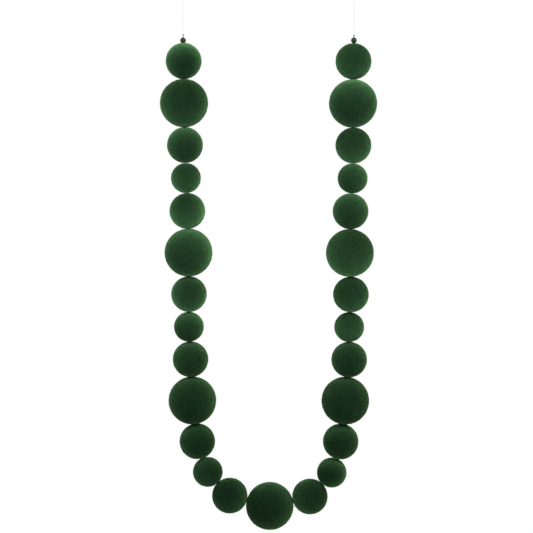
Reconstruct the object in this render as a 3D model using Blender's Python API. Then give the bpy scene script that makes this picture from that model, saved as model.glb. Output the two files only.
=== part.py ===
"""Flocked ball garland, hanging by its two ends in a long narrow U.

Seven large, fourteen medium and six small drilled balls are strung on one cord.
The cord passes a small stop bead at each end and is doubled back into a loop.
A clear thread is tied through each loop and runs straight up to a knotted loop of its own.

Metres. +X runs from the left end to the right one, +Z is up, and the strand hangs in the XZ plane.
The origin lies midway between the two top loops, level with the tops of them.
"""

import math
from collections import namedtuple

import bmesh
import bpy
from mathutils import Vector

# What is threaded on the cord: outside diameter over the flock, drilled hole, and how finely it is turned.
Stock = namedtuple("Stock", "diameter hole segments bands")
STOCK = {
    "large": Stock(diameter=0.0800, hole=0.0030, segments=16, bands=9),
    "medium": Stock(diameter=0.0600, hole=0.0030, segments=14, bands=8),
    "small": Stock(diameter=0.0500, hole=0.0030, segments=12, bands=8),
    "bead": Stock(diameter=0.0100, hole=0.0033, segments=12, bands=8),
    "knot": Stock(diameter=0.0026, hole=0.0018, segments=10, bands=4),
}
RIM_ANGLE = 50           # degrees; the edge round a hole is sharper than this and stays crisp
BALL_GAP = 0.0006        # between two balls
BEAD_GAP = 0.0003        # between an end bead and the ball beside it
LOWEST = "large"
SETTLE_SWEEPS = 10       # passes along the strand that turn each ball's hole towards its neighbours'

# One row for each piece above the lowest ball, from the bottom of the U to its ends.
# A lean is how far the cord below that piece tips in from plumb, in degrees, on each side.
Row = namedtuple("Row", "size left_lean right_lean")
SIDES = (
    Row("medium", 75.4, 76.7),
    Row("small", 42.5, 42.0),
    Row("medium", 18.6, 15.9),
    Row("large", 6.7, 6.2),
    Row("medium", 2.4, 5.2),
    Row("small", 2.7, -0.2),
    Row("medium", -0.3, 2.9),
    Row("large", 0.5, -1.6),
    Row("medium", 1.4, 0.8),
    Row("small", 2.4, 3.3),
    Row("medium", 1.4, 1.2),
    Row("large", 1.2, -0.6),
    Row("medium", 0.3, 0.4),
    Row("bead", 1.4, 1.1),
)

# The stringing cord and the loop it ends in.
CORD_DIAMETER = 0.0008
LOOP_LEG = 0.0006        # half the distance between the two legs inside the bead
LOOP_EYE = 0.0010        # radius of the bend at the top of the loop
LOOP_TAIL = 0.0010       # how far below the bead's middle the doubled end reaches
LOOP_RISE = {"left": 0.0012, "right": 0.0020}    # top of the loop above its bead
BEND_STEPS = 8           # straight steps in the half turn of the loop

# The clear hanging threads.
THREAD_DIAMETER = 0.0004
THREAD_DROP = 0.0850     # from the top of a thread's loop down to the middle of the beads
STRAND_OFFSET = 0.0003   # half the distance between the two strands inside a knot
KNOT_REACH = 0.0010      # how far above and below a knot's middle its two strands stay together
LOWER_KNOT_RISE = 0.0042     # a lower knot's middle above its bead
UPPER_KNOT_DROP = 0.0120     # an upper knot's middle below the top of its own loop
TOP_LOOP_HALF_WIDTH = 0.0030
CURVE_STEPS = 3          # straight steps between two points of a thread's route

TUBE_RESOLUTION = 2      # gives a tube eight sides

# Base colour, roughness and transmission of each material.
FLOCK = ((0.012, 0.040, 0.014), 0.95, 0.0)
CORD_GREEN = ((0.015, 0.050, 0.020), 0.85, 0.0)
BEAD_GREEN = ((0.010, 0.060, 0.018), 0.20, 0.0)
CLEAR_NYLON = ((0.900, 0.920, 0.920), 0.15, 0.9)


def remove_everything():
    """Start from an empty scene."""
    for thing in list(bpy.data.objects):
        bpy.data.objects.remove(thing, do_unlink=True)


def give_material(thing, finish):
    """Give an object a material of its own."""
    colour, roughness, transmission = finish
    material = bpy.data.materials.new(thing.name)
    material.use_nodes = True
    shader = material.node_tree.nodes["Principled BSDF"]
    shader.inputs["Base Color"].default_value = (*colour, 1.0)
    shader.inputs["Roughness"].default_value = roughness
    shader.inputs["Metallic"].default_value = 0.0
    shader.inputs["Transmission Weight"].default_value = transmission
    material.diffuse_color = (*colour, 1.0)
    thing.data.materials.clear()
    thing.data.materials.append(material)


def turned_ball(name, stock):
    """A ball turned about its own Z axis, with a straight hole through it from pole to pole."""
    radius = stock.diameter / 2
    mouth = math.asin(stock.hole / stock.diameter)
    work = bmesh.new()
    profile = []
    for band in range(stock.bands + 1):
        polar = mouth + (math.pi - 2 * mouth) * band / stock.bands
        profile.append(work.verts.new((radius * math.sin(polar), 0.0, radius * math.cos(polar))))
    outline = [work.edges.new(pair) for pair in zip(profile, profile[1:] + profile[:1])]
    bmesh.ops.spin(
        work,
        geom=profile + outline,
        cent=(0.0, 0.0, 0.0),
        axis=(0.0, 0.0, 1.0),
        angle=2 * math.pi,
        steps=stock.segments,
        use_merge=True,
    )
    bmesh.ops.recalc_face_normals(work, faces=work.faces)
    mesh = bpy.data.meshes.new(name)
    work.to_mesh(mesh)
    work.free()
    mesh.shade_smooth()
    mesh.set_sharp_from_angle(angle=math.radians(RIM_ANGLE))
    return mesh


def place(name, mesh, middle, angle, finish):
    """Put a turned piece with its hole along the cord, which runs at the angle above +X."""
    thing = bpy.data.objects.new(name, mesh)
    bpy.context.scene.collection.objects.link(thing)
    thing.location = middle
    thing.rotation_euler = (0.0, math.pi / 2 - angle, 0.0)
    give_material(thing, finish)


def tube(name, points, diameter, finish):
    """A round cord through the points, closed at both ends."""
    curve = bpy.data.curves.new(name, "CURVE")
    curve.dimensions = "3D"
    curve.bevel_depth = diameter / 2
    curve.bevel_resolution = TUBE_RESOLUTION
    curve.use_fill_caps = True
    spline = curve.splines.new("POLY")
    spline.points.add(len(points) - 1)
    for spot, point in zip(spline.points, points):
        spot.co = (*point, 1.0)
    thing = bpy.data.objects.new(name, curve)
    bpy.context.scene.collection.objects.link(thing)
    give_material(thing, finish)


def smooth(route):
    """Points along a smooth curve that passes through every point of the route."""
    ends = [2 * route[0] - route[1]] + route + [2 * route[-1] - route[-2]]
    points = []
    for before, start, end, after in zip(ends, ends[1:], ends[2:], ends[3:]):
        for step in range(CURVE_STEPS):
            t = step / CURVE_STEPS
            points.append(
                0.5 * (2 * start
                       + (end - before) * t
                       + (2 * before - 5 * start + 4 * end - after) * t ** 2
                       + (3 * start - before - 3 * end + after) * t ** 3)
            )
    return points + [route[-1]]


def along(angle):
    """The direction of a cord that runs at this angle above +X."""
    return Vector((math.cos(angle), 0.0, math.sin(angle)))


def turn_holes(links, radii):
    """The angle of each piece's hole, turned by the pull of the cord.

    It starts midway between the cord's angles on either side of the piece.
    Each sweep then turns every piece until its two mouths come nearest to the mouths they face.
    """
    plumb = math.pi / 2
    angles = [(a + b) / 2 for a, b in zip([-plumb] + links, links + [plumb])]
    for _ in range(SETTLE_SWEEPS):
        for i in range(1, len(angles) - 1):
            offset_before = radii[i - 1] * (angles[i - 1] - links[i - 1])
            offset_after = radii[i + 1] * (angles[i + 1] - links[i])
            angles[i] = (links[i - 1] + links[i] - (offset_before + offset_after) / radii[i]) / 2
    return angles


def hang():
    """Every piece on the cord from the left end to the right: its size, radius, middle and hole angle."""
    side = [row.size for row in SIDES]
    sizes = side[::-1] + [LOWEST] + side
    radii = [STOCK[size].diameter / 2 for size in sizes]
    down = [math.radians(row.left_lean - 90) for row in reversed(SIDES)]
    up = [math.radians(90 - row.right_lean) for row in SIDES]
    links = down + up

    middles = [Vector((0.0, 0.0, 0.0))]
    for i, link in enumerate(links):
        gap = BEAD_GAP if "bead" in sizes[i:i + 2] else BALL_GAP
        middles.append(middles[-1] + along(link) * (radii[i] + gap + radii[i + 1]))
    origin = (middles[0] + middles[-1]) / 2 + Vector((0.0, 0.0, THREAD_DROP))

    Threaded = namedtuple("Threaded", "size radius middle angle")
    rows = zip(sizes, radii, middles, turn_holes(links, radii))
    return [Threaded(size, radius, middle - origin, angle) for size, radius, middle, angle in rows]


def crossing(here, there):
    """Where the cord leaves one piece and enters the next, slid across the holes to face each other."""
    leave = here.middle + along(here.angle) * here.radius
    enter = there.middle - along(there.angle) * there.radius
    link = (there.middle - here.middle).normalized()
    across = Vector((-link.z, 0.0, link.x))
    slide = across * (enter - leave).dot(across) / 2
    return [leave + slide, enter - slide]


def end_loop(bead, side):
    """The cord's doubled end: from its tail in the bead, up, over and back down into the bead."""
    out = along(bead.angle) * (-1 if side == "left" else 1)
    across = Vector((out.z, 0.0, -out.x))
    shoulder = bead.radius - LOOP_EYE
    eye = bead.radius + LOOP_RISE[side] - LOOP_EYE

    def spot(sideways, up):
        return bead.middle + across * sideways + out * up

    points = [spot(LOOP_LEG, -LOOP_TAIL), spot(LOOP_LEG, shoulder)]
    for step in range(BEND_STEPS + 1):
        turn = math.pi * step / BEND_STEPS
        points.append(spot(LOOP_EYE * math.cos(turn), eye + LOOP_EYE * math.sin(turn)))
    return points + [spot(-LOOP_LEG, shoulder), spot(-LOOP_LEG, -LOOP_TAIL)]


def make_cord(strand):
    """One cord through every hole, with a loop at each end."""
    points = end_loop(strand[0], "left")
    for here, there in zip(strand, strand[1:]):
        points += crossing(here, there)
    points += end_loop(strand[-1], "right")[::-1]
    tube("stringing_cord", points, CORD_DIAMETER, CORD_GREEN)


def make_thread(bead, side):
    """A clear thread: tied through the cord's loop, straight up, and knotted into a loop at its top."""
    top = bead.middle.z + bead.radius
    eye = top + LOOP_RISE[side]
    lower = top + LOWER_KNOT_RISE
    upper = -UPPER_KNOT_DROP
    wide = TOP_LOOP_HALF_WIDTH

    def spot(x, y, z):
        return Vector((bead.middle.x + x, y, z))

    route = [
        spot(0, STRAND_OFFSET, lower + KNOT_REACH),
        spot(0, STRAND_OFFSET, lower - KNOT_REACH),
        spot(0, LOOP_EYE, eye),
        spot(0, 0, eye - LOOP_EYE),
        spot(0, -LOOP_EYE, eye),
        spot(0, -STRAND_OFFSET, lower - KNOT_REACH),
        spot(0, -STRAND_OFFSET, lower + KNOT_REACH),
        spot(0, 0, lower + 4 * KNOT_REACH),
        spot(0, 0, (lower + upper) / 2),
        spot(0, 0, upper - 4 * KNOT_REACH),
        spot(STRAND_OFFSET, 0, upper - KNOT_REACH),
        spot(STRAND_OFFSET, 0, upper + KNOT_REACH),
        spot(wide * 0.7, 0, upper * 0.6),
        spot(wide, 0, upper * 0.3),
        spot(0, 0, 0),
        spot(-wide, 0, upper * 0.3),
        spot(-wide * 0.7, 0, upper * 0.6),
        spot(-STRAND_OFFSET, 0, upper + KNOT_REACH),
        spot(-STRAND_OFFSET, 0, upper - KNOT_REACH),
    ]
    tube(f"{side}_hanging_thread", smooth(route), THREAD_DIAMETER, CLEAR_NYLON)
    for name, height in (("lower", lower), ("upper", upper)):
        mesh = turned_ball("knot", STOCK["knot"])
        place(f"{side}_{name}_knot", mesh, spot(0, 0, height), math.pi / 2, CLEAR_NYLON)


def make_garland():
    """Every piece, in the place where it hangs."""
    strand = hang()
    for number, piece in enumerate(strand[1:-1], start=1):
        mesh = turned_ball(piece.size, STOCK[piece.size])
        place(f"ball_{number:02d}_{piece.size}", mesh, piece.middle, piece.angle, FLOCK)
    for bead, side in ((strand[0], "left"), (strand[-1], "right")):
        mesh = turned_ball("bead", STOCK["bead"])
        place(f"{side}_end_bead", mesh, bead.middle, bead.angle, BEAD_GREEN)
        make_thread(bead, side)
    make_cord(strand)


remove_everything()
make_garland()
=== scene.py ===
# %% [markdown]
# # A flocked ball garland, hung by its two ends
#
# Twenty-seven drilled balls in three sizes hang on one cord in a long narrow U. Each ball is
# covered in flock: short nylon fibres that stand on end in glue, and look like velvet. A small
# glossy bead stops the string at each end, and a clear thread holds each bead up.
#
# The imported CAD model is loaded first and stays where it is. Every piece below takes its place from
# it, and rides on its one body.

# %% Load the fixed frame
import math
from collections import namedtuple

import bmesh
import bpy
import numpy as np
from mathutils import Matrix, Vector


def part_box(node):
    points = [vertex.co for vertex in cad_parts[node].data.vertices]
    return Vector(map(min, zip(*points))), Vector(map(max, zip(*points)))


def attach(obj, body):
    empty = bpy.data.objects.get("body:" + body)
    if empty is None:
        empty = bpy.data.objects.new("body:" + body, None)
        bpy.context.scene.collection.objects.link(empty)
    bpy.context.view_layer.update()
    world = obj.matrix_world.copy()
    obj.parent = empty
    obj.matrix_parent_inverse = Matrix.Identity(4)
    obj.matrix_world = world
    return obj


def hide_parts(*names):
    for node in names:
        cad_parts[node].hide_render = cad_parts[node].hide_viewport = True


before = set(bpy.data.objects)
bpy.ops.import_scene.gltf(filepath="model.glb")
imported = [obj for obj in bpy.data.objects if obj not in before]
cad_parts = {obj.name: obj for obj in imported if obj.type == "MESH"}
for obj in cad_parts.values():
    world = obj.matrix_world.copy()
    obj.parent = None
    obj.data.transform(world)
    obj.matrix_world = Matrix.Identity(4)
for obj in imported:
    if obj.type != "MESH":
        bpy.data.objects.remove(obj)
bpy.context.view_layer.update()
scene = bpy.context.scene
BODY = "root"

# %% [markdown]
# ## Camera
#
# A long lens some way off keeps the balls round and nearly the same scale from top to bottom. The
# camera stands a little above the middle of the garland and looks slightly down, which makes the
# top balls a touch larger than the bottom ones.

# %% Camera
AIM = Vector((-0.0034, 0.0, -0.4665))
CAMERA_DISTANCE = 2.5
LOOKING_DOWN = math.radians(3.084)
LENS_MM = 99.54
SENSOR_MM = 36.0

back = Vector((0.0, -math.cos(LOOKING_DOWN), math.sin(LOOKING_DOWN)))
bpy.ops.object.camera_add(
    location=AIM + back * CAMERA_DISTANCE,
    rotation=(math.pi / 2 - LOOKING_DOWN, 0.0, 0.0),
)
scene.camera = bpy.context.active_object
scene.camera.data.sensor_width = SENSOR_MM
scene.camera.data.lens = LENS_MM
print("camera at", scene.camera.location)

# %% [markdown]
# ## Measuring the strand
#
# Every ball and bead is a CAD node, so its middle and radius come from its box. The direction of
# its hole comes from the hole's own wall: two faces of the wall meet along a line that runs the
# same way as the hole.

# %% Read each ball's place, size and hole from the frame


def middle_of(node):
    low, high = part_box(node)
    return (low + high) / 2


def hole_direction(node):
    """The direction of the hole through a node, as a unit vector."""
    middle = middle_of(node)
    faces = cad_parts[node].data.polygons
    reach = max((face.center - middle).length for face in faces)
    wall = [face.normal for face in faces if (face.center - middle).length < reach / 2]
    lines = [wall[0].cross(normal) for normal in wall]
    return max(lines, key=lambda line: line.length).normalized()


SIZES = {"large": 0.0400, "medium": 0.0300, "small": 0.0250}
BEAD_RADIUS = 0.0050

ball_nodes = sorted(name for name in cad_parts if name.startswith("ball_"))
strand_nodes = ["left_end_bead"] + ball_nodes + ["right_end_bead"]
middles = {name: middle_of(name) for name in strand_nodes}
radii = {name: SIZES.get(name.split("_")[-1], BEAD_RADIUS) for name in strand_nodes}

holes = {}
heading = Vector((0.0, 0.0, -1.0))
for here, there in zip(strand_nodes, strand_nodes[1:] + strand_nodes[-1:]):
    direction = hole_direction(here)
    heading = (middles[there] - middles[here]).normalized() if there != here else heading
    holes[here] = direction if direction.dot(heading) > 0 else -direction
print("balls:", len(ball_nodes), "first hole runs", holes[strand_nodes[0]])

# %% [markdown]
# ## Helpers for modelling by hand
#
# Blender's operators act on whatever is selected, and the loaded nodes arrive selected. So each
# step starts by selecting nothing, and then picks what it works on.

# %% Selecting, editing and finishing a piece


def pick(*pieces):
    """Selects these pieces and nothing else; the last one is the active one."""
    bpy.ops.object.select_all(action="DESELECT")
    for piece in pieces:
        piece.select_set(True)
        bpy.context.view_layer.objects.active = piece


def added(name):
    """The piece that the last operator added, under its own name."""
    piece = bpy.context.active_object
    piece.name = name
    piece.data.name = name
    return piece


def edit(piece, mode="FACE"):
    """Opens a piece in edit mode with nothing selected."""
    pick(piece)
    bpy.ops.object.mode_set(mode="EDIT")
    bpy.ops.mesh.select_mode(type=mode)
    bpy.ops.mesh.select_all(action="DESELECT")


def select_faces(piece, wanted):
    """Selects the faces whose middle passes a test, in edit mode."""
    work = bmesh.from_edit_mesh(piece.data)
    for face in work.faces:
        face.select_set(wanted(face.calc_center_median()))
    bmesh.update_edit_mesh(piece.data)


def close_edit():
    """Merges doubles, turns every face outwards and leaves edit mode."""
    bpy.ops.mesh.select_all(action="SELECT")
    bpy.ops.mesh.remove_doubles(threshold=1e-6)
    bpy.ops.mesh.normals_make_consistent(inside=False)
    bpy.ops.object.mode_set(mode="OBJECT")


def apply_modifier(piece, kind, **settings):
    """Adds a modifier with these settings and applies it."""
    pick(piece)
    bpy.ops.object.modifier_add(type=kind)
    modifier = piece.modifiers[-1]
    for setting, value in settings.items():
        setattr(modifier, setting, value)
    bpy.ops.object.modifier_apply(modifier=modifier.name)


def settle(piece, matrix):
    """Moves a piece to its place, then puts that place into its mesh."""
    piece.matrix_world = matrix
    pick(piece)
    bpy.ops.object.transform_apply(location=True, rotation=True, scale=True)
    return piece


def duplicate(model, name):
    """A copy of a piece with a mesh of its own."""
    pick(model)
    bpy.ops.object.duplicate(linked=False)
    return added(name)


def belongs(piece, slot, *nodes):
    """Fixes a finished piece to the garland, in place of its CAD nodes."""
    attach(piece, BODY)
    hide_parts(*nodes)


# %% [markdown]
# ## The hanging threads
#
# Each end hangs from a clear nylon thread 0.4 mm thick. It is tied through the cord's loop with a
# small wound knot, rises straight up, and ends in a knotted loop that goes over a hook. A thread
# could be a thin cylinder, but one curve with a round bevel follows its real route through the
# loop and back. The route runs as in the CAD part, with the cord's loop and the lower knot drawn
# down closer to the bead.

# %% The route of a hanging thread
THREAD_DIAMETER = 0.0004
STRAND_OFFSET = 0.0003
KNOT_REACH = 0.0010
LOWER_KNOT_RISE = {"left": 0.0029, "right": 0.0030}
UPPER_KNOT_DROP = 0.0120
CLEAR_OF_KNOT = 0.0040
TOP_LOOP_HALF_WIDTH = 0.0030
# The top loop's sides, from its knot up: a share of its half width, and a share of its drop.
TOP_LOOP_SIDE = ((0.7, 0.6), (1.0, 0.3))
LOOP_EYE = 0.0010
LOOP_RISE = {"left": 0.0005, "right": 0.0012}
THREAD_STEPS = 6


def smooth(route, steps):
    """Points along a smooth curve that passes through every point of the route."""
    ends = [2 * route[0] - route[1]] + route + [2 * route[-1] - route[-2]]
    points = []
    for before, start, end, after in zip(ends, ends[1:], ends[2:], ends[3:]):
        for step in range(steps):
            t = step / steps
            points.append(
                0.5 * (2 * start
                       + (end - before) * t
                       + (2 * before - 5 * start + 4 * end - after) * t ** 2
                       + (3 * start - before - 3 * end + after) * t ** 3)
            )
    return points + [route[-1]]


def thread_heights(side):
    """The height of the cord's loop, the lower knot and the upper knot."""
    top = middles[f"{side}_end_bead"].z + BEAD_RADIUS
    return top + LOOP_RISE[side], top + LOWER_KNOT_RISE[side], -UPPER_KNOT_DROP


def thread_route(side):
    """The thread's middle line, from its tail in the lower knot to its tail in the upper one."""
    eye, lower, upper = thread_heights(side)
    x = middles[f"{side}_end_bead"].x
    rising = [(TOP_LOOP_HALF_WIDTH * out, upper * down) for out, down in TOP_LOOP_SIDE]
    through_the_loop = [
        (0, STRAND_OFFSET, lower + KNOT_REACH),
        (0, STRAND_OFFSET, lower - KNOT_REACH),
        (0, LOOP_EYE, eye),
        (0, 0, eye - LOOP_EYE),
        (0, -LOOP_EYE, eye),
        (0, -STRAND_OFFSET, lower - KNOT_REACH),
        (0, -STRAND_OFFSET, lower + KNOT_REACH),
    ]
    straight_up = [
        (0, 0, lower + CLEAR_OF_KNOT),
        (0, 0, (lower + upper) / 2),
        (0, 0, upper - CLEAR_OF_KNOT),
    ]
    top_loop = [
        (STRAND_OFFSET, 0, upper - KNOT_REACH),
        (STRAND_OFFSET, 0, upper + KNOT_REACH),
        *((out, 0, height) for out, height in rising),
        (0, 0, 0),
        *((-out, 0, height) for out, height in reversed(rising)),
        (-STRAND_OFFSET, 0, upper + KNOT_REACH),
        (-STRAND_OFFSET, 0, upper - KNOT_REACH),
    ]
    rows = through_the_loop + straight_up + top_loop
    return smooth([Vector((x + across, y, z)) for across, y, z in rows], THREAD_STEPS)


def length_of(points):
    return sum((b - a).length for a, b in zip(points, points[1:]))


print("thread lengths:", [round(length_of(thread_route(side)), 4) for side in LOOP_RISE])

# %% [markdown]
# ## The knots
#
# A knot in nylon thread is a few turns of the thread pulled tight round its own strands. A ball
# would only suggest it. Here a small ring of the thread's own section is swept round and up with
# the Screw modifier, which gives real turns. The Cast modifier then draws the end turns in.

# %% One wound knot
KNOT_TURNS = 5
TURN_PITCH = 0.00042
KNOT_RADIUS = 0.00108
KNOT_ROUNDING = 0.30
TURN_SIDES = 8
TURN_STEPS = 20


def wound_knot(name):
    """Some turns of thread round the Z axis, centred on the origin."""
    pick()
    bpy.ops.mesh.primitive_circle_add(
        vertices=TURN_SIDES,
        radius=THREAD_DIAMETER / 2,
        location=(KNOT_RADIUS, 0.0, -KNOT_TURNS * TURN_PITCH / 2),
        rotation=(math.pi / 2, 0.0, 0.0),
    )
    knot = added(name)
    bpy.ops.object.transform_apply(location=True, rotation=True, scale=True)
    apply_modifier(
        knot, "SCREW", screw_offset=TURN_PITCH, iterations=KNOT_TURNS,
        steps=TURN_STEPS, render_steps=TURN_STEPS,
    )
    apply_modifier(knot, "CAST", cast_type="SPHERE", factor=KNOT_ROUNDING, radius=KNOT_RADIUS)
    edit(knot)
    bpy.ops.mesh.select_all(action="SELECT")
    bpy.ops.mesh.fill_holes(sides=0)
    close_edit()
    bpy.ops.object.shade_smooth()
    return knot


knot_model = wound_knot("knot_model")
print("one knot:", len(knot_model.data.polygons), "faces")

# %% Tie a thread to each end


def round_curve(name, points, diameter):
    """A round cord through the points, as a curve with a bevel."""
    curve = bpy.data.curves.new(name, "CURVE")
    curve.dimensions = "3D"
    curve.bevel_depth = diameter / 2
    curve.bevel_resolution = 2
    curve.resolution_u = 1
    curve.use_fill_caps = True
    spline = curve.splines.new("POLY")
    spline.points.add(len(points) - 1)
    for spot, point in zip(spline.points, points):
        spot.co = (*point, 1.0)
    piece = bpy.data.objects.new(name, curve)
    scene.collection.objects.link(piece)
    return piece


threads, knots = [], []
for side in ("left", "right"):
    heights = dict(zip(("lower", "upper"), thread_heights(side)[1:]))
    tied = []
    for level, height in heights.items():
        knot = duplicate(knot_model, f"{side}_{level}_wound_knot")
        place = Vector((middles[f"{side}_end_bead"].x, 0.0, height))
        settle(knot, Matrix.Translation(place))
        belongs(knot, "clear_thread", f"{side}_{level}_knot")
        tied.append(knot)
    route = thread_route(side)
    pick(round_curve(f"{side}_nylon_thread", route, THREAD_DIAMETER))
    bpy.ops.object.convert(target="MESH")
    thread = bpy.context.active_object
    belongs(thread, "clear_thread", f"{side}_hanging_thread")
    round(length_of(route), 4)
    threads.append(thread)
    knots += tied
bpy.data.objects.remove(knot_model)
print("threads and knots:", [piece.name for piece in threads + knots])

# %% [markdown]
# ## The stringing cord
#
# One green cord 0.8 mm thick runs through every hole and is doubled back into a loop above each
# bead. It is plied: three yarns twisted together. The loops are the only stretches that can be
# seen from all round, so only they are made as three separate yarns wound about the route, and
# they are pulled tight about the thread. The stretch through the balls is one smooth tube.

# %% The route of the stringing cord
CORD_DIAMETER = 0.0008
TIGHT_EYE = 0.0006  # radius of the cord's own bend; LOOP_EYE is that of the thread through it
LOOP_TAIL = 0.0010
BEND_STEPS = 8


def end_loop(side):
    """The cord's doubled end: from its tail in the bead, up, over and back down."""
    bead = f"{side}_end_bead"
    out = holes[bead] * (-1 if side == "left" else 1)
    across = Vector((out.z, 0.0, -out.x))
    shoulder = BEAD_RADIUS - TIGHT_EYE
    eye = BEAD_RADIUS + LOOP_RISE[side] - TIGHT_EYE
    spots = [(TIGHT_EYE, -LOOP_TAIL), (TIGHT_EYE, shoulder)]
    for step in range(BEND_STEPS + 1):
        turn = math.pi * step / BEND_STEPS
        spots.append((TIGHT_EYE * math.cos(turn), eye + TIGHT_EYE * math.sin(turn)))
    spots += [(-TIGHT_EYE, shoulder), (-TIGHT_EYE, -LOOP_TAIL)]
    return [middles[bead] + across * sideways + out * up for sideways, up in spots]


def crossing(here, there):
    """Where the cord leaves one piece and enters the next."""
    leave = middles[here] + holes[here] * radii[here]
    enter = middles[there] - holes[there] * radii[there]
    link = (middles[there] - middles[here]).normalized()
    across = Vector((-link.z, 0.0, link.x))
    slide = across * (enter - leave).dot(across) / 2
    return [leave + slide, enter - slide]


loops = {"left": end_loop("left"), "right": end_loop("right")[::-1]}
through = [loops["left"][-1]]
for here, there in zip(strand_nodes, strand_nodes[1:]):
    through += crossing(here, there)
through.append(loops["right"][0])
cord_length = length_of(loops["left"]) + length_of(through) + length_of(loops["right"])
print("stringing cord, metres:", round(cord_length, 3))

# %% Ply the two loops and join them to the straight stretch
YARNS = 3
YARN_DIAMETER = CORD_DIAMETER / (1 + 2 / math.sqrt(3))
TWIST_PITCH = 0.0026
PLY_STEP = 0.00015


def evenly(points, step):
    """The route again, with its points evenly spaced."""
    line = np.array(points)
    run = np.concatenate([[0], np.cumsum(np.linalg.norm(np.diff(line, axis=0), axis=1))])
    at = np.linspace(0, run[-1], int(run[-1] / step) + 1)
    return [Vector(spot) for spot in zip(*(np.interp(at, run, line[:, k]) for k in range(3)))]


def yarn(name, route, number):
    """One yarn, winding round a route that lies in the XZ plane."""
    spots = evenly(smooth(route, THREAD_STEPS), PLY_STEP)
    centre_to_yarn = (CORD_DIAMETER - YARN_DIAMETER) / 2
    wound = []
    for count, spot in enumerate(spots):
        before, after = spots[max(count - 1, 0)], spots[min(count + 1, len(spots) - 1)]
        ahead = (after - before).normalized()
        sideways = Vector((-ahead.z, 0.0, ahead.x))
        turn = 2 * math.pi * (count * PLY_STEP / TWIST_PITCH + number / YARNS)
        offset = sideways * math.cos(turn) + Vector((0.0, math.sin(turn), 0.0))
        wound.append(spot + offset * centre_to_yarn)
    return round_curve(name, wound, YARN_DIAMETER)


parts = [round_curve("stringing_cord_run", through, CORD_DIAMETER)]
for side, route in loops.items():
    parts += [yarn(f"{side}_loop_yarn_{number}", route, number) for number in range(YARNS)]
pick(*parts)
bpy.ops.object.convert(target="MESH")
bpy.ops.object.join()
plied_cord = added("plied_cord")
belongs(plied_cord, "stringing_cord", "stringing_cord")
print("plied cord:", len(plied_cord.data.polygons), "faces")

# %% [markdown]
# ## One drilled ball
#
# Under the flock is a light moulded ball with a hole drilled through its middle. A plain sphere
# has no hole, and a Boolean cut leaves ragged faces round its edge. So the two caps of a sphere
# are taken off, the open edges are extruded and scaled in to roll the mouths over, and the two
# mouths are bridged through the middle. One level of subdivision rounds it off. Each size is
# modelled once, out to the tips of its flock, which stands a little proud of the CAD ball.

# %% Model a drilled ball
HOLE_RADIUS = 0.0015
# The rings of a rolled mouth: a share of the hole's radius, and the depth below the ball's top.
ROLL = ((1.00, 0.0004), (0.80, 0.0014))
WELL_INSIDE = 0.9  # a cap's faces have their middles within this share of its radius


def drilled_ball(name, radius, around, rings, hole, roll):
    """A ball about the Z axis with a hole along it and rolled mouths."""
    pick()
    bpy.ops.mesh.primitive_uv_sphere_add(segments=around, ring_count=rings, radius=radius)
    ball = added(name)
    cap = radius * math.sin(math.pi / rings)
    edit(ball)
    select_faces(ball, lambda spot: math.hypot(spot.x, spot.y) < WELL_INSIDE * cap)
    bpy.ops.mesh.delete(type="FACE")
    bpy.ops.mesh.select_mode(type="EDGE")
    bpy.ops.mesh.select_non_manifold()
    width, height = cap, radius * math.cos(math.pi / rings)
    for share, drop in roll:
        narrower, lower = hole * share, radius - drop
        bpy.ops.mesh.extrude_region()
        bpy.ops.transform.resize(
            value=(narrower / width, narrower / width, lower / height),
            center_override=(0.0, 0.0, 0.0),
        )
        width, height = narrower, lower
    bpy.ops.mesh.bridge_edge_loops()
    close_edit()
    apply_modifier(ball, "SUBSURF", levels=1, render_levels=1)
    bpy.ops.object.shade_smooth()
    return ball


# How far the flock stands proud, and how many segments and rings a sphere starts with.
PILE = {"large": 0.00060, "medium": 0.00030, "small": 0.00040}
MESH_SIZES = {"large": (112, 56), "medium": (80, 40), "small": (68, 34)}
models = {
    size: drilled_ball(f"{size}_model", SIZES[size] + PILE[size], around, rings, HOLE_RADIUS, ROLL)
    for size, (around, rings) in MESH_SIZES.items()
}
for size, model in models.items():
    print(size, "ball:", len(model.data.polygons), "faces, size", model.dimensions)
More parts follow.
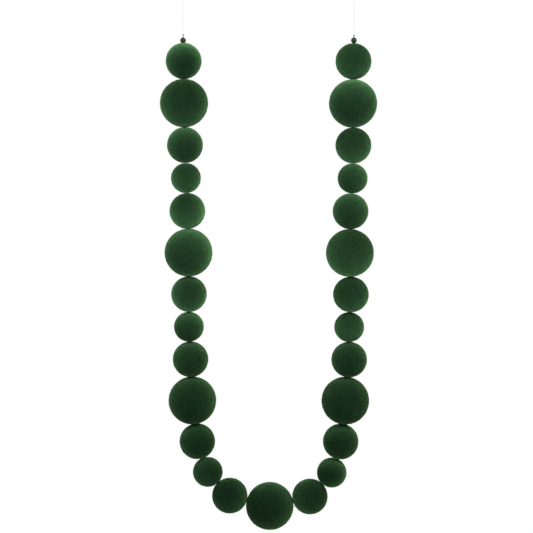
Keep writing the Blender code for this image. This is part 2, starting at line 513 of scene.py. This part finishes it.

# %% [markdown]
# ## Flock that has been handled, with painted light and shade
#
# Flock lies this way or that where it has been touched, just as velvet does, so each ball has
# lighter and darker sides with a soft edge between them. A picture could be painted on, but that
# needs an image and a seam. Here a number is worked out at each point of the mesh from the side of
# the ball that it is on, and stored as an attribute that the flock's material reads: 1 is nap as it
# comes, and more is lighter. The number is partly the lie of the nap and partly painted light and
# shade, which makes each ball lighter or darker on the sides where more or less light falls on it.

# %% How the nap of each ball lies, with painted light and shade
# A row for each ball: how light it is on the whole, and how much lighter it grows towards the
# right, towards the top, towards the front and back, and towards top and bottom as against the
# sides. These rows weren't chosen by hand: another program, outside this script, fitted them.
# The rows are partly the lie of the nap and partly painted light and shade: they also hold how light
# fell on each ball, towards its right, its top, its front and back, and its top and bottom.
NapAndPaintedLight = namedtuple("NapAndPaintedLight", "level right up front poles")
NAP_AND_PAINTED_LIGHT = {
    "ball_01": NapAndPaintedLight(1.71, -0.16, 0.81, -0.98, 0.21),
    "ball_02": NapAndPaintedLight(0.89, -0.11, -0.25, -0.17, -0.04),
    "ball_03": NapAndPaintedLight(1.29, -0.16, 0.46, -0.40, 0.07),
    "ball_04": NapAndPaintedLight(1.22, -0.15, -0.51, -0.02, -0.08),
    "ball_05": NapAndPaintedLight(1.79, 0.27, -0.81, -0.48, -0.19),
    "ball_06": NapAndPaintedLight(1.51, 0.22, 0.43, -0.47, 0.08),
    "ball_07": NapAndPaintedLight(1.74, -0.20, -0.34, -0.60, 0.02),
    "ball_08": NapAndPaintedLight(1.28, 0.13, 0.71, -0.17, 0.14),
    "ball_09": NapAndPaintedLight(1.19, -0.12, 0.33, -0.28, 0.06),
    "ball_10": NapAndPaintedLight(0.88, -0.01, 0.29, -0.13, -0.05),
    "ball_11": NapAndPaintedLight(1.09, -0.18, 0.20, -0.28, 0.28),
    "ball_12": NapAndPaintedLight(1.09, -0.29, 0.07, -0.10, 0.30),
    "ball_13": NapAndPaintedLight(1.00, 0.19, -0.18, -0.18, 0.04),
    "ball_14": NapAndPaintedLight(0.91, 0.24, 0.06, -0.17, 0.24),
    "ball_15": NapAndPaintedLight(1.08, -0.42, -0.08, -0.15, 0.11),
    "ball_16": NapAndPaintedLight(1.85, 0.26, 0.25, -1.09, 0.54),
    "ball_17": NapAndPaintedLight(1.28, -0.00, 0.30, -0.51, 0.33),
    "ball_18": NapAndPaintedLight(0.63, -0.07, 0.23, 0.15, 0.10),
    "ball_19": NapAndPaintedLight(0.95, -0.05, 0.22, -0.11, 0.02),
    "ball_20": NapAndPaintedLight(0.71, -0.19, -0.39, 0.87, -0.20),
    "ball_21": NapAndPaintedLight(0.97, -0.01, -0.44, 0.15, 0.13),
    "ball_22": NapAndPaintedLight(0.99, -0.29, -0.50, 0.19, 0.07),
    "ball_23": NapAndPaintedLight(1.24, -0.04, 0.36, -0.25, 0.06),
    "ball_24": NapAndPaintedLight(1.01, 0.15, 0.33, 0.14, 0.07),
    "ball_25": NapAndPaintedLight(0.86, 0.02, -0.53, 0.12, 0.04),
    "ball_26": NapAndPaintedLight(1.21, -0.00, 0.49, -0.38, 0.25),
    "ball_27": NapAndPaintedLight(0.82, -0.14, -0.31, 0.13, -0.04),
}


def lay_nap_and_painted_light(ball, middle, nap_and_light):
    """Stores how light the nap looks at each point of a ball, with painted light and shade."""
    count = len(ball.data.vertices)
    spots = np.zeros(count * 3, np.float32)
    ball.data.vertices.foreach_get("co", spots)
    outward = spots.reshape(-1, 3) - np.array(middle)
    outward /= np.linalg.norm(outward, axis=1)[:, None]
    attribute = ball.data.attributes.new("nap_and_painted_light", "FLOAT", "POINT")
    across, front, up = outward.T
    lie_and_painted_light = nap_and_light.level + nap_and_light.right * across + nap_and_light.up * up + nap_and_light.front * np.abs(front)
    lie_and_painted_light += nap_and_light.poles * (up * up - across * across)
    attribute.data.foreach_set("value", lie_and_painted_light.astype(np.float32))


levels = [nap_and_light.level for nap_and_light in NAP_AND_PAINTED_LIGHT.values()]
print("nap levels run from", min(levels), "to", max(levels))

# %% [markdown]
# ## Balls that touch
#
# On the string each ball is drawn up against the next, and the flock between them is pressed flat.
# The points of a ball that reach past the plane between the two are scaled onto that plane, with a
# hair's gap left, so that no two meshes cut through each other.

# %% Press the flock flat where two pieces touch
TOUCHING_GAP = 0.00010


def press_flat(ball, here, there):
    """Flattens the flock of a ball where it meets its neighbour, leaving a hair's gap."""
    link = middles[there] - middles[here]
    gap = link.length - radii[here] - radii[there]
    toward = link.normalized()
    touch = middles[here] + toward * (radii[here] + (gap - TOUCHING_GAP) / 2)
    edit(ball, "VERT")
    work = bmesh.from_edit_mesh(ball.data)
    for spot in work.verts:
        spot.select_set((spot.co - touch).dot(toward) > 0)
    work.select_flush(True)
    bmesh.update_edit_mesh(ball.data)
    bpy.ops.transform.resize(
        value=(1.0, 1.0, 0.0),
        orient_type="GLOBAL",
        orient_matrix=toward.to_track_quat("Z", "Y").to_matrix(),
        orient_matrix_type="GLOBAL",
        center_override=touch,
    )
    bpy.ops.object.mode_set(mode="OBJECT")


neighbours = {name: [] for name in strand_nodes}
for here, there in zip(strand_nodes, strand_nodes[1:]):
    neighbours[here].append(there)
    neighbours[there].append(here)
print("touching pairs:", len(strand_nodes) - 1)

# %% [markdown]
# ## Balls on the string
#
# The nap also clumps a little, which shows as a very slight unevenness in the surface. That is real
# displacement, from a cloud texture, so it shows at the outline too. Each ball is turned about its
# hole by a different angle, so that no two show the same clumps.

# %% Place the balls
CLUMP_SIZE = 0.0040
CLUMP_HEIGHT = 0.00090
SPIN_STEP = math.radians(137.5)

clumps = bpy.data.textures.new("nap_clumps", "CLOUDS")
clumps.noise_scale = CLUMP_SIZE
clumps.noise_depth = 3

flocked_balls = []
for count, node in enumerate(ball_nodes):
    number, size = node[:len("ball_00")], node.split("_")[-1]
    ball = duplicate(models[size], node.replace("ball", "flocked_ball"))
    turn = holes[node].to_track_quat("Z", "Y").to_matrix().to_4x4()
    spin = Matrix.Rotation(SPIN_STEP * count, 4, "Z")
    settle(ball, Matrix.Translation(middles[node]) @ turn @ spin)
    lay_nap_and_painted_light(ball, middles[node], NAP_AND_PAINTED_LIGHT[number])
    apply_modifier(
        ball, "DISPLACE", texture=clumps, texture_coords="LOCAL",
        strength=CLUMP_HEIGHT, mid_level=0.5,
    )
    for neighbour in neighbours[node]:
        press_flat(ball, node, neighbour)
    belongs(ball, "flock", node)
    flocked_balls.append(ball)
for model in models.values():
    bpy.data.objects.remove(model)
print("flocked balls:", len(flocked_balls))

# %% [markdown]
# ## The end beads
#
# A small hard bead, moulded in glossy plastic, stops the string at each end. It is the same kind
# of shape as a ball: a drilled sphere, but with a wide mouth whose edge is softly rounded. Each
# bead is drawn a little way into the flock of the ball below it.

# %% Model the end beads
BEAD_HOLE_RADIUS = 0.00165
BEAD_ROLL = ((1.12, 0.00045), (1.00, 0.0008))
BEAD_SINK = {"left": 0.0010, "right": 0.0003}
BEAD_SEGMENTS, BEAD_RINGS = 40, 16

bead_model = drilled_ball(
    "bead_model", BEAD_RADIUS, BEAD_SEGMENTS, BEAD_RINGS, BEAD_HOLE_RADIUS, BEAD_ROLL
)
beads = []
for side in ("left", "right"):
    node = f"{side}_end_bead"
    bead = duplicate(bead_model, f"{side}_stop_bead")
    turn = holes[node].to_track_quat("Z", "Y").to_matrix().to_4x4()
    inward = holes[node] * (1 if side == "left" else -1)
    settle(bead, Matrix.Translation(middles[node] + inward * BEAD_SINK[side]) @ turn)
    belongs(bead, "end_bead", node)
    beads.append(bead)
bpy.data.objects.remove(bead_model)
print("bead size:", beads[0].dimensions)

# %% [markdown]
# ## Writing shaders as sums
#
# A finish is a network of nodes. Wiring them one by one hides what they work out, so a small
# class stands for one output and turns `+`, `-` and `*` into Math nodes. Every other node comes
# from one method. The world behind the scene is such a network too, so a finish is a network that
# also has a material and its main shader.

# %% A signal, a network and a finish


class Signal:
    """One output of a node, which can be added, taken away and multiplied."""

    def __init__(self, network, socket):
        self.network = network
        self.socket = socket

    def maths(self, operation, first, second):
        return self.network.node("Math", {"operation": operation}, {0: first, 1: second})

    def __add__(self, other):
        return self.maths("ADD", self, other)

    def __radd__(self, other):
        return self.maths("ADD", other, self)

    def __sub__(self, other):
        return self.maths("SUBTRACT", self, other)

    def __rsub__(self, other):
        return self.maths("SUBTRACT", other, self)

    def __mul__(self, other):
        return self.maths("MULTIPLY", self, other)

    def __rmul__(self, other):
        return self.maths("MULTIPLY", other, self)


class Network:
    """A tree of shader nodes while it is laid out."""

    def __init__(self, tree):
        self.tree = tree

    def node(self, kind, settings=None, inputs=None, output=0):
        """Adds a node, sets it up, feeds its inputs, and returns one of its outputs."""
        made = self.tree.nodes.new(f"ShaderNode{kind}")
        for setting, value in (settings or {}).items():
            setattr(made, setting, value)
        self.feed(made, inputs or {})
        return Signal(self, made.outputs[output])

    def feed(self, made, inputs):
        """Links or sets a node's inputs."""
        for name, value in inputs.items():
            if isinstance(value, Signal):
                self.tree.links.new(value.socket, made.inputs[name])
            else:
                made.inputs[name].default_value = value

    def surface(self, shader):
        """Leads a shader to the network's output."""
        outlet = next(node for node in self.tree.nodes if node.type.startswith("OUTPUT"))
        self.feed(outlet, {"Surface": shader})

    def mix_colour(self, amount, first, second):
        """A colour between two others; the Mix node's colour sockets are numbers 6 and 7."""
        settings = {"data_type": "RGBA", "blend_type": "MIX", "clamp_factor": True}
        return self.node("Mix", settings, {0: amount, 6: first, 7: second}, output=2)

    def noise(self, coordinates, scale, detail=2.0, roughness=0.5):
        inputs = {"Vector": coordinates, "Scale": scale, "Detail": detail, "Roughness": roughness}
        return self.node("TexNoise", {"noise_dimensions": "3D"}, inputs)

    def bump(self, height, strength, distance):
        inputs = {"Height": height, "Strength": strength, "Distance": distance}
        return self.node("Bump", None, inputs)

    def steps(self, value, low, high):
        """0 below one value, 1 above another, and a soft step between them."""
        settings = {"interpolation_type": "SMOOTHSTEP"}
        inputs = {"Value": value, "From Min": low, "From Max": high}
        return self.node("MapRange", settings, inputs)


class Finish(Network):
    """A material, with its network and its main shader."""

    def __init__(self, name):
        self.material = bpy.data.materials.new(name)
        self.material.use_nodes = True
        super().__init__(self.material.node_tree)
        self.shader = self.tree.nodes["Principled BSDF"]

    def place(self):
        """The place of each point on its piece."""
        return self.node("TexCoord", output=3)

    def shade(self, **inputs):
        """Feeds the shader; an underscore stands for a space."""
        self.feed(self.shader, {name.replace("_", " "): value for name, value in inputs.items()})

    def coat(self, *pieces):
        """Gives the finish to pieces, in place of any other."""
        for piece in pieces:
            piece.data.materials.clear()
            piece.data.materials.append(self.material)


def rgb(red, green, blue):
    return (red, green, blue, 1.0)


print("shader helpers ready")

# %% [markdown]
# ## Flock
#
# Flock is matt and dark where it is looked at straight on, because light goes down between the
# fibres. Towards the edge of a ball the fibres are seen from the side and catch the light, which
# gives the pale rim. The sheen of the Principled shader does exactly that. Nap that lies one way
# looks darker than nap that lies the other way, in its colour and its sheen alike. So there are two
# looks of the same flock, a dark one and a light one, and a Mix Shader blends them by the lie of
# the nap, by soft drifts and clumps, and a little by how far the nap is seen edge on. The two looks
# are also shaded and lit copies of the flock: the stored lie of the nap carries painted light and
# shade, and the part for the nap seen edge on is a painted rim sheen. The green itself wanders
# between a cool and a warm one, and the tips of the fibres are lighter.

# %% The patterns in the flock
DRIFT_SCALE, DRIFT_SHARE = 70.0, 0.30
CLUMP_SCALE, CLUMP_SHARE = 260.0, 0.80
FIBRE_SCALE, FIBRE_RELIEF = 2600.0, 0.3
HUE_SCALE, HUE_LOW, HUE_HIGH = 100.0, 0.30, 0.70
TIP_LOW, TIP_HIGH, TIP_SHARE = 0.50, 0.80, 0.12
# Painted rim sheen: how much lighter the flock is made where it is seen edge on.
PAINTED_RIM_LOW, PAINTED_RIM_HIGH, PAINTED_RIM_SHARE = 0.45, 0.75, 0.15
RELIEF_DEPTH = 0.0016

flock = Finish("flock")
place = flock.place()
drift = flock.noise(place, DRIFT_SCALE)
clump = flock.noise(place, CLUMP_SCALE, detail=3.0, roughness=0.6)
fibre = flock.noise(place, FIBRE_SCALE, detail=1.0)
hue = flock.steps(flock.noise(place, HUE_SCALE), HUE_LOW, HUE_HIGH)
tips = flock.steps(fibre, TIP_LOW, TIP_HIGH) * TIP_SHARE
relief = flock.bump(fibre * FIBRE_RELIEF + clump, 1.0, RELIEF_DEPTH)
# The lie of the nap as stored, with its painted light and shade.
lie_and_painted_light = flock.node("Attribute", {"attribute_type": "GEOMETRY", "attribute_name": "nap_and_painted_light"}, output=2)
# Painted rim sheen: the flock is made lighter towards its outline, where it is seen edge on.
facing = flock.node("LayerWeight", None, {"Blend": 0.5}, output=1)
painted_rim_sheen = flock.steps(facing, PAINTED_RIM_LOW, PAINTED_RIM_HIGH)
print("patterns in the flock:", len(flock.tree.nodes), "nodes")

# %% Two looks of the flock, shaded and lit, blended
# The greens, and the sheen's tint and weight, started from the fit that also gave the light powers.
COOL_GREEN = (0.0050, 0.0245, 0.0134)
WARM_GREEN = (0.0074, 0.0250, 0.0090)
TIP_GREEN = (0.020, 0.070, 0.030)
SHEEN_TINT = rgb(0.408, 1.0, 0.392)
SHEEN_WEIGHT = 0.471
SHEEN_ROUGHNESS = 0.60
# The dark look is also painted shade and the light look painted light.
SHADED_DARK_NAP = 0.5
LIT_LIGHT_NAP = 2.0


def flock_look(shader, share):
    """One look of the flock; a share of 1 is nap as it comes, more is lighter.

    The dark look is also painted shade, and the light look painted light.
    """
    cool, warm, tip = (
        rgb(*(share * part for part in colour)) for colour in (COOL_GREEN, WARM_GREEN, TIP_GREEN)
    )
    flock.feed(shader, {
        "Base Color": flock.mix_colour(tips, flock.mix_colour(hue, cool, warm), tip),
        "Roughness": 0.95,
        "Specular IOR Level": 0.03,
        "Sheen Weight": SHEEN_WEIGHT * share,
        "Sheen Roughness": SHEEN_ROUGHNESS,
        "Sheen Tint": SHEEN_TINT,
        "Normal": relief,
    })
    return Signal(flock, shader.outputs[0])


shaded_dark_nap = flock_look(flock.shader, SHADED_DARK_NAP)
lit_light_nap = flock_look(flock.node("BsdfPrincipled").socket.node, LIT_LIGHT_NAP)
lightness_with_painted_light = lie_and_painted_light + (drift - 0.5) * DRIFT_SHARE + (clump - 0.5) * CLUMP_SHARE + painted_rim_sheen * PAINTED_RIM_SHARE
blend = (lightness_with_painted_light - SHADED_DARK_NAP) * (1.0 / (LIT_LIGHT_NAP - SHADED_DARK_NAP))
flock.surface(flock.node("MixShader", None, {0: blend, 1: shaded_dark_nap, 2: lit_light_nap}))
flock.coat(*flocked_balls)
print("flock on", len(flocked_balls), "balls")

# %% [markdown]
# ## Glossy bead, plied cord and clear nylon
#
# The beads are the only glossy pieces. Their plastic has faint flow marks, which vary its green and
# its gloss a little. The cord is matt nylon, a little fuzzy. The thread is so thin and clear that it
# hardly shows: about half of the light passes straight through it. Glass would bend the light, but a
# thread this thin doesn't visibly, so a low Alpha is enough. A knot has several turns one behind
# the other, so it is nearly solid and looks grey.

# %% The bead finish
BEAD_GREEN = rgb(0.008, 0.042, 0.008)
BEAD_PALE = rgb(0.018, 0.092, 0.020)
FLOW_MARKS = 260.0

bead_plastic = Finish("bead_plastic")
swirl = bead_plastic.noise(bead_plastic.place(), FLOW_MARKS)
bead_plastic.shade(
    Base_Color=bead_plastic.mix_colour(swirl, BEAD_GREEN, BEAD_PALE),
    Roughness=0.28 + swirl * 0.12,
    Specular_IOR_Level=0.35,
    Normal=bead_plastic.bump(swirl, 0.08, 0.0003),
)
bead_plastic.coat(*beads)
print("beads finished:", len(beads))

# %% The cord finish
CORD_DARK = rgb(0.012, 0.045, 0.018)
CORD_LIGHT = rgb(0.045, 0.130, 0.060)
FUZZ_SCALE = 5200.0

cord_nylon = Finish("cord_nylon")
fuzz = cord_nylon.noise(cord_nylon.place(), FUZZ_SCALE)
cord_nylon.shade(
    Base_Color=cord_nylon.mix_colour(fuzz, CORD_DARK, CORD_LIGHT),
    Roughness=0.55 + fuzz * 0.2,
    Specular_IOR_Level=0.35,
    Normal=cord_nylon.bump(fuzz, 0.3, 0.0001),
)
cord_nylon.coat(plied_cord)
print("cord finished")

# %% The clear thread finish
NYLON_CLEAR = rgb(0.52, 0.62, 0.60)
CLOUD_SCALE = 900.0

clear_nylon = Finish("clear_nylon")
cloud = clear_nylon.noise(clear_nylon.place(), CLOUD_SCALE, detail=1.0)
clear_nylon.shade(
    Base_Color=NYLON_CLEAR,
    Roughness=0.12 + cloud * 0.10,
    Alpha=0.50 + cloud * 0.12,
)
clear_nylon.coat(*threads)
print("threads finished:", len(threads))

# %% The knot finish
KNOT_GREY = rgb(0.20, 0.24, 0.22)
HAZE_SCALE = 1800.0

knotted_nylon = Finish("knotted_nylon")
haze = knotted_nylon.noise(knotted_nylon.place(), HAZE_SCALE, detail=1.0)
knotted_nylon.shade(
    Base_Color=KNOT_GREY,
    Roughness=0.30 + haze * 0.15,
    Alpha=0.82 + haze * 0.10,
)
knotted_nylon.coat(*knots)
print("knots finished:", len(knots))

# %% [markdown]
# ## The floor
#
# The garland hangs over a pale round floor with a low rim. The lights are set for dark flock, and
# would leave a plain floor grey. So its finish also gives off a little light, which only the camera
# sees: it brightens the floor and adds nothing to the balls.

# %% Floor
FLOOR_HEIGHT = -1.25
FLOOR_RADIUS = 1.2
FLOOR_SIDES = 96
FLOOR_WHITE = rgb(0.86, 0.86, 0.86)
FLOOR_GLOW = rgb(0.46, 0.46, 0.47)
NO_GLOW = rgb(0.0, 0.0, 0.0)
CAMERA_RAY = 0  # the Light Path node's first output is 1 for what the camera sees directly

pick()
bpy.ops.mesh.primitive_circle_add(
    vertices=FLOOR_SIDES, radius=FLOOR_RADIUS, fill_type="NGON", location=(0.0, 0.0, FLOOR_HEIGHT)
)
floor = added("floor")
edit(floor)
bpy.ops.mesh.select_all(action="SELECT")
bpy.ops.mesh.inset(thickness=0.02, depth=0.004)
close_edit()
bpy.ops.object.transform_apply(location=True, rotation=True, scale=True)
pale = Finish("pale_floor")
pale.shade(
    Base_Color=FLOOR_WHITE,
    Roughness=0.8,
    Emission_Color=pale.mix_colour(pale.node("LightPath", output=CAMERA_RAY), NO_GLOW, FLOOR_GLOW),
    Emission_Strength=1.0,
)
pale.coat(floor)
print("floor at", FLOOR_HEIGHT)

# %% [markdown]
# ## Soft boxes
#
# Three square soft boxes light the front: two from high on either side, the right one the stronger,
# and a small near one that favours the top of the garland. Three more stand behind. They are what
# gives flock its rim: a strong one high on the right, a low yellowish one under it for the warm
# right rims, and a weak cool one on the left.

# %% Soft boxes
SoftBox = namedtuple("SoftBox", "watts size aim_height distance turn rise colour")
NEUTRAL = (1.0, 1.0, 1.0)
WARM = (1.0, 0.98, 0.78)
COOL = (0.94, 0.98, 1.0)
YELLOW = (1.0, 0.98, 0.10)
# Power in watts; side, height aimed at and distance in metres; degrees to the right and upwards.
# Another program, outside this script, fitted the powers. Those of the low right and the back left
# box were then changed.
SOFT_BOXES = {
    "front_right_box": SoftBox(15.0, 0.8, -0.5, 2.0, 45, 35, NEUTRAL),
    "front_left_box": SoftBox(9.3, 0.8, -0.5, 2.0, -45, 35, COOL),
    "top_box": SoftBox(2.6, 0.5, 0.0, 0.9, 0, 30, WARM),
    "back_right_box": SoftBox(6.7, 0.8, -0.5, 2.0, 135, 35, WARM),
    "low_right_box": SoftBox(5.5, 0.8, -0.5, 2.0, 135, 0, YELLOW),
    "back_left_box": SoftBox(2.0, 0.8, -0.5, 2.0, -135, 35, COOL),
}

for name, box in SOFT_BOXES.items():
    turn, rise = math.radians(box.turn), math.radians(box.rise)
    level = math.cos(rise)
    toward_box = Vector((math.sin(turn) * level, -math.cos(turn) * level, math.sin(rise)))
    spot = Vector((0.0, 0.0, box.aim_height)) + toward_box * box.distance
    bpy.ops.object.light_add(type="AREA", location=spot)
    light = added(name)
    light.rotation_euler = (-toward_box).to_track_quat("-Z", "Y").to_euler()
    light.data.shape = "SQUARE"
    light.data.size = box.size
    light.data.energy = box.watts
    light.data.color = box.colour
    light.visible_camera = False
print("soft boxes:", len(SOFT_BOXES))

# %% [markdown]
# ## White background, and light from below
#
# The camera sees plain white all round. Light itself comes only from below, as it does off a bright
# table: it is strongest straight down and fades to nothing at the horizon, so it fills the balls'
# undersides and leaves the rest to the soft boxes. The strength is the downward part of the
# direction, never under zero.

# %% The world
GLOW_BELOW = 2.25
GLOW_COLOUR = rgb(0.97, 0.98, 1.08)
WHITE = rgb(1.0, 1.0, 1.0)
DIRECTION, DOT_VALUE = 0, 1  # outputs of the Texture Coordinate and Vector Math nodes

world = bpy.data.worlds.new("studio")
world.use_nodes = True
scene.world = world
sky = Network(world.node_tree)
sky.tree.nodes.remove(sky.tree.nodes["Background"])
direction = sky.node("TexCoord", output=DIRECTION)
downward = sky.node(
    "VectorMath", {"operation": "DOT_PRODUCT"},
    {0: direction, 1: (0.0, 0.0, -GLOW_BELOW)}, output=DOT_VALUE,
)
strength = sky.node("Math", {"operation": "MAXIMUM"}, {0: downward, 1: 0.0})
glow = sky.node("Background", None, {"Color": GLOW_COLOUR, "Strength": strength})
white = sky.node("Background", None, {"Color": WHITE})
seen = sky.node("LightPath", output=CAMERA_RAY)
sky.surface(sky.node("MixShader", None, {0: seen, 1: glow, 2: white}))
scene.view_settings.view_transform = "Standard"
print("world ready:", len(sky.tree.nodes), "nodes")
